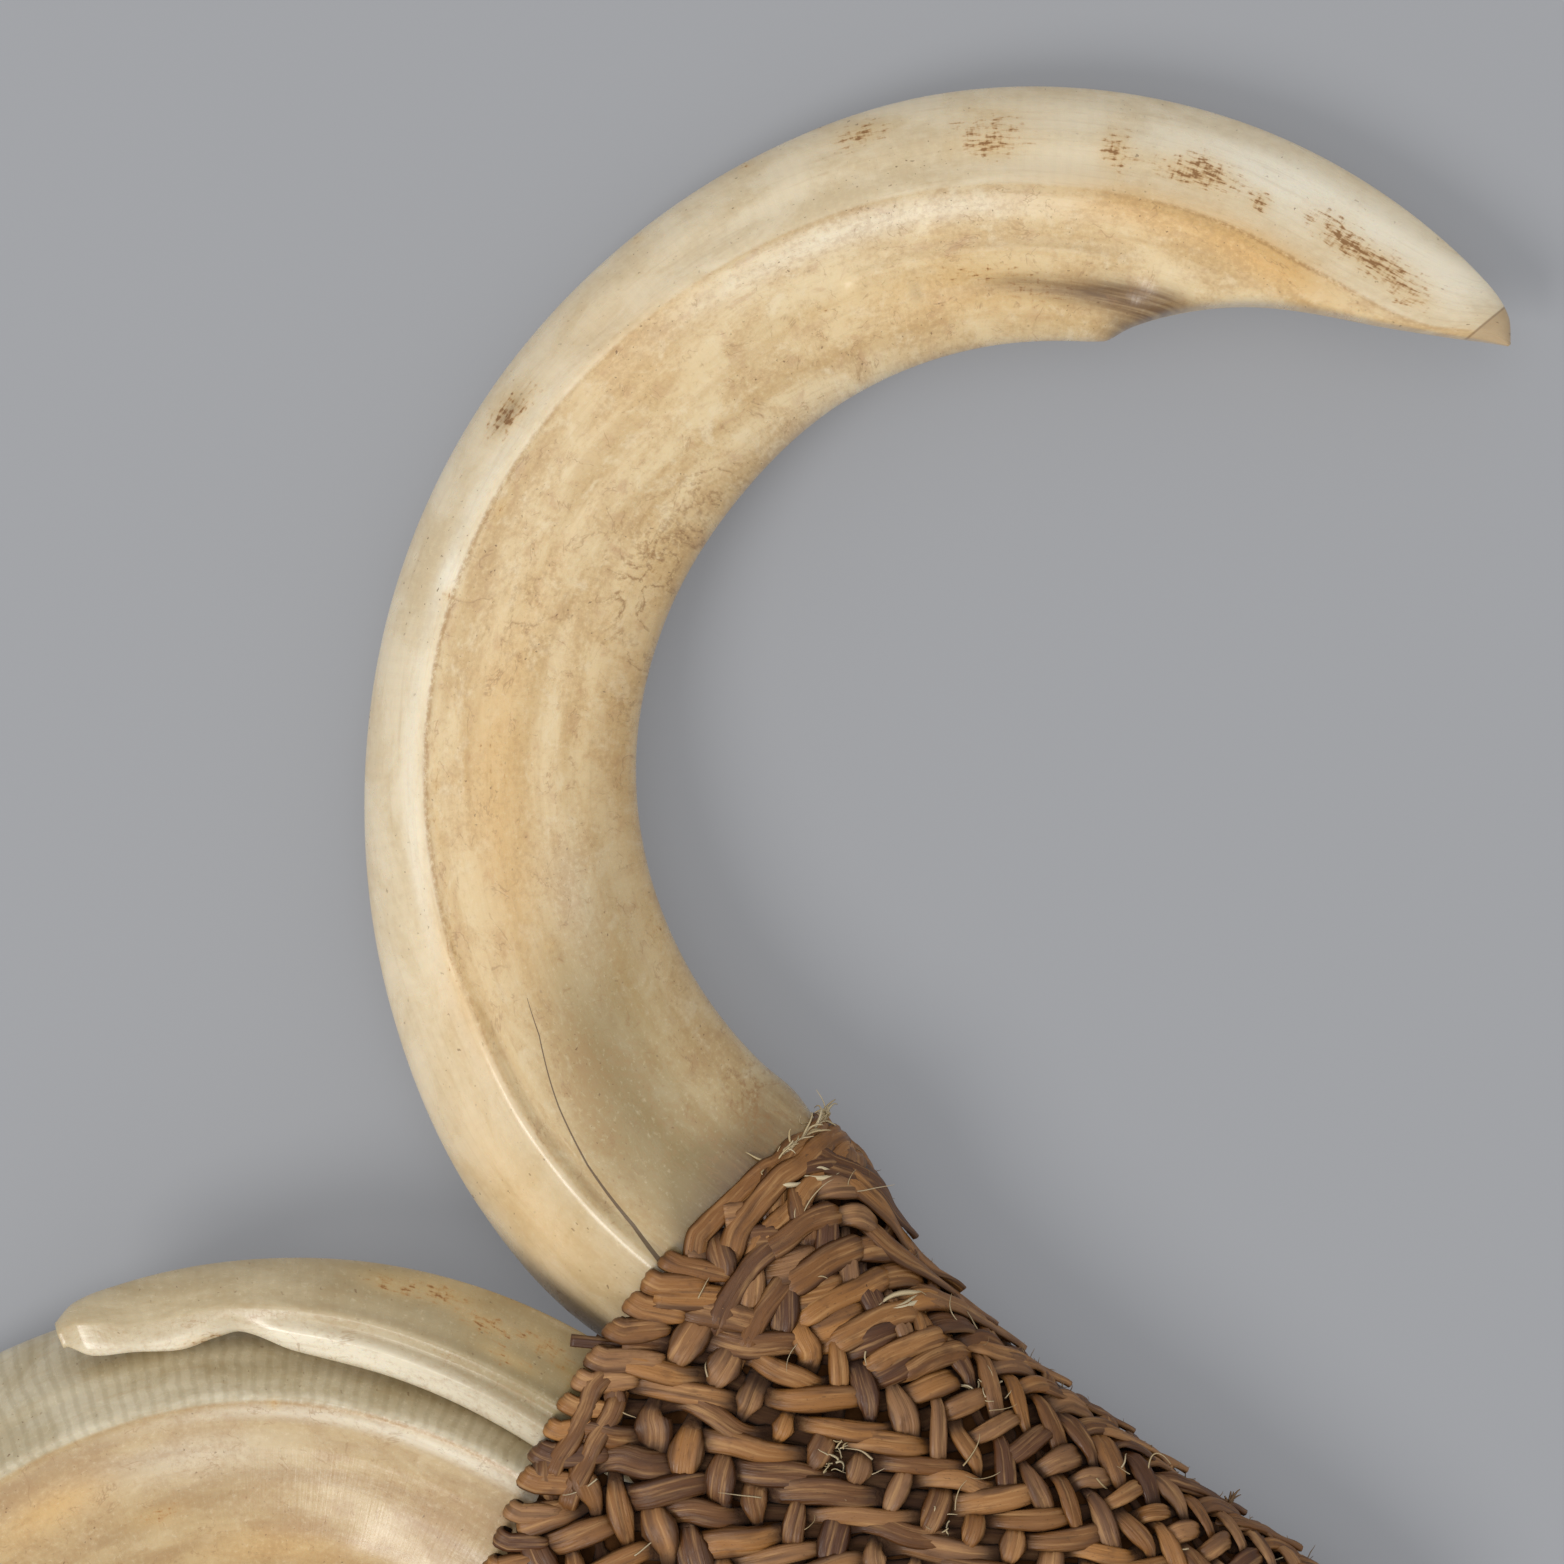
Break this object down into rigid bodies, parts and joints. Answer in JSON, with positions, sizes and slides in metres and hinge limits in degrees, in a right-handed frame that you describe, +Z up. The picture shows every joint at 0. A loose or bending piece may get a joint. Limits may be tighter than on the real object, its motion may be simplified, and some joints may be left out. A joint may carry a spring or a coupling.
{
  "type": "boar tusk ornament",
  "caption": "Curved boar tusks, large and small, whose roots are held side by side in a plaited split-cane binding with a rounded tail. It lies flat.",
  "frame": {"origin": "bottom centre of the whole ornament's box, on the surface it lies on", "axes": "+Z up from the surface it lies on; +Y from the lower tusk towards the upper tusk's top; +X towards the upper tusk's tip"},
  "size_m": [0.1564, 0.2014, 0.0193],
  "materials": {
    "tusk": "polished enamel and dentine, cream to honey yellow, with brown stains and fine growth lines",
    "cane": "split cane strips, brown, dry and fibrous, plaited in a twill"
  },
  "bodies": {
    "root": {"upper_tusk": "tusk", "lower_tusk": "tusk", "small_tusk": "tusk", "plaited_binding": "cane"}
  },
  "joints": []
}
